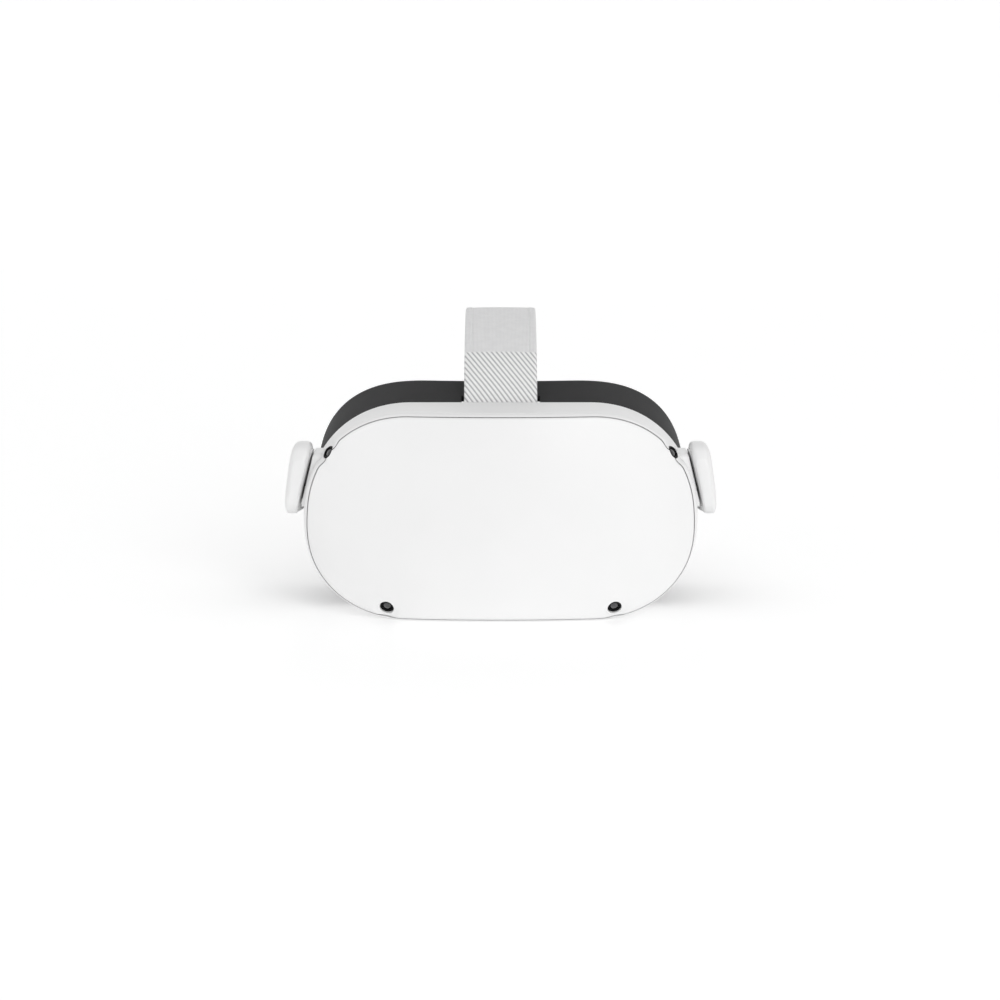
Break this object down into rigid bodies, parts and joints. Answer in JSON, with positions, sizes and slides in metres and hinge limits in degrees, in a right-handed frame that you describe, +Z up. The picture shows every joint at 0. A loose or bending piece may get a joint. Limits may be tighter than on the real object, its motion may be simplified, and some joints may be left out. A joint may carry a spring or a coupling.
{
  "type": "vr headset",
  "caption": "Standalone VR headset: rounded white visor with tracking cameras, lenses, facial interface, hinged side arms and a fabric head strap with a rear cradle.",
  "frame": {"origin": "centre of the visor's flat bottom, 14 mm ahead of the shell's rear edge, on the surface it rests on", "axes": "+X towards the wearer's left, +Y from the front cover towards the wearer's head, +Z up"},
  "size_m": [0.191, 0.2903, 0.1256],
  "materials": {
    "white_plastic": "fine satin",
    "dark_plastic": "satin",
    "grey_plastic": "matte",
    "cushion_foam": "soft knit over foam",
    "strap_fabric": "woven elastic",
    "rib_fabric": "diagonal ribbed weave",
    "optic": "polished",
    "camera_glass": "polished black",
    "aluminium": "satin",
    "steel": "bright",
    "circuit_board": "solder mask",
    "screen": "polished black",
    "battery_wrap": "film",
    "light_pipe": "clear"
  },
  "bodies": {
    "visor": {"front_cover": "white_plastic", "main_shell": "white_plastic", "fan_housing": "dark_plastic", "strap_anchor": "dark_plastic", "audio_jack": "dark_plastic", "tracking_camera_upper_left": "dark_plastic", "tracking_camera_upper_right": "dark_plastic", "tracking_camera_lower_left": "dark_plastic", "tracking_camera_lower_right": "dark_plastic", "eye_plate": "grey_plastic", "left_pivot_pin": "grey_plastic", "right_pivot_pin": "grey_plastic", "top_strap": "strap_fabric", "top_strap_tab": "rib_fabric", "camera_window_upper_left": "camera_glass", "camera_window_upper_right": "camera_glass", "camera_window_lower_left": "camera_glass", "camera_window_lower_right": "camera_glass", "proximity_sensor": "camera_glass", "chassis_frame": "aluminium", "processor_shield": "aluminium", "heat_sink": "aluminium", "heat_pipe": "aluminium", "upper_guide_rod": "steel", "lower_guide_rod": "steel", "pinion_pin": "steel", "usb_port": "steel", "plate_screw_upper_left": "steel", "plate_screw_upper_right": "steel", "plate_screw_lower_left": "steel", "plate_screw_lower_right": "steel", "main_board": "circuit_board", "display_panel": "screen", "battery_cell": "battery_wrap", "status_light": "light_pipe"},
    "strap_frame": {"left_arm_shell": "white_plastic", "left_arm_cover": "white_plastic", "left_speaker": "dark_plastic", "left_side_band": "strap_fabric", "right_arm_shell": "white_plastic", "right_arm_cover": "white_plastic", "right_speaker": "dark_plastic", "right_side_band": "strap_fabric", "rear_cradle": "strap_fabric"},
    "face_mask": {"facial_interface": "dark_plastic", "face_cushion": "cushion_foam"},
    "left_optic": {"left_lens_barrel": "dark_plastic", "left_lens": "optic"},
    "right_optic": {"right_lens_barrel": "dark_plastic", "right_lens": "optic"},
    "ipd_gear": {"ipd_pinion": "white_plastic"},
    "fan": {"fan_rotor": "dark_plastic"},
    "power": {"power_button": "white_plastic"},
    "volume": {"volume_rocker": "white_plastic"},
    "left_slider": {"left_band_slider": "white_plastic"},
    "right_slider": {"right_band_slider": "white_plastic"}
  },
  "joints": [
    {"name": "strap_pivot", "type": "hinge", "parent": "visor", "child": "strap_frame", "pos_m": [0, -0.003, 0.0605], "axis": [1, 0, 0], "range_deg": [0, 20], "deforming": ["top_strap"]},
    {"name": "mask_slide", "type": "slide", "parent": "visor", "child": "face_mask", "axis": [0, 1, 0], "range_m": [0, 0.035]},
    {"name": "left_lens_slide", "type": "slide", "parent": "visor", "child": "left_optic", "axis": [1, 0, 0], "range_m": [-0.0025, 0.0025]},
    {"name": "right_lens_slide", "type": "slide", "parent": "visor", "child": "right_optic", "axis": [1, 0, 0], "range_m": [-0.0026, 0.0026]},
    {"name": "pinion_turn", "type": "hinge", "parent": "visor", "child": "ipd_gear", "pos_m": [0, -0.001, 0.026], "axis": [0, 1, 0], "range_deg": [-37, 37]},
    {"name": "fan_spin", "type": "hinge", "parent": "visor", "child": "fan", "pos_m": [0, -0.0265, 0.052], "axis": [0, 1, 0], "continuous": true},
    {"name": "power_press", "type": "slide", "parent": "visor", "child": "power", "axis": [1, 0, 0], "range_m": [0, 0.0006], "stiffness_N_per_m": 500, "springref_m": -0.0008},
    {"name": "volume_rock", "type": "hinge", "parent": "visor", "child": "volume", "pos_m": [-0.06, -0.006, 0.00544], "axis": [0, 1, 0], "range_deg": [-2.5, 2.5], "stiffness_Nm_per_rad": 0.2},
    {"name": "left_slider_slide", "type": "slide", "parent": "strap_frame", "child": "left_slider", "axis": [-0.5778, 0.7833, -0.2292], "range_m": [-0.006, 0.006]},
    {"name": "right_slider_slide", "type": "slide", "parent": "strap_frame", "child": "right_slider", "axis": [0.5778, 0.7833, -0.2292], "range_m": [-0.006, 0.006]}
  ],
  "couplings": [
    {"joint": "right_lens_slide", "follows": "left_lens_slide", "ratio": -1},
    {"joint": "pinion_turn", "follows": "left_lens_slide", "rad_per_m": 250}
  ]
}
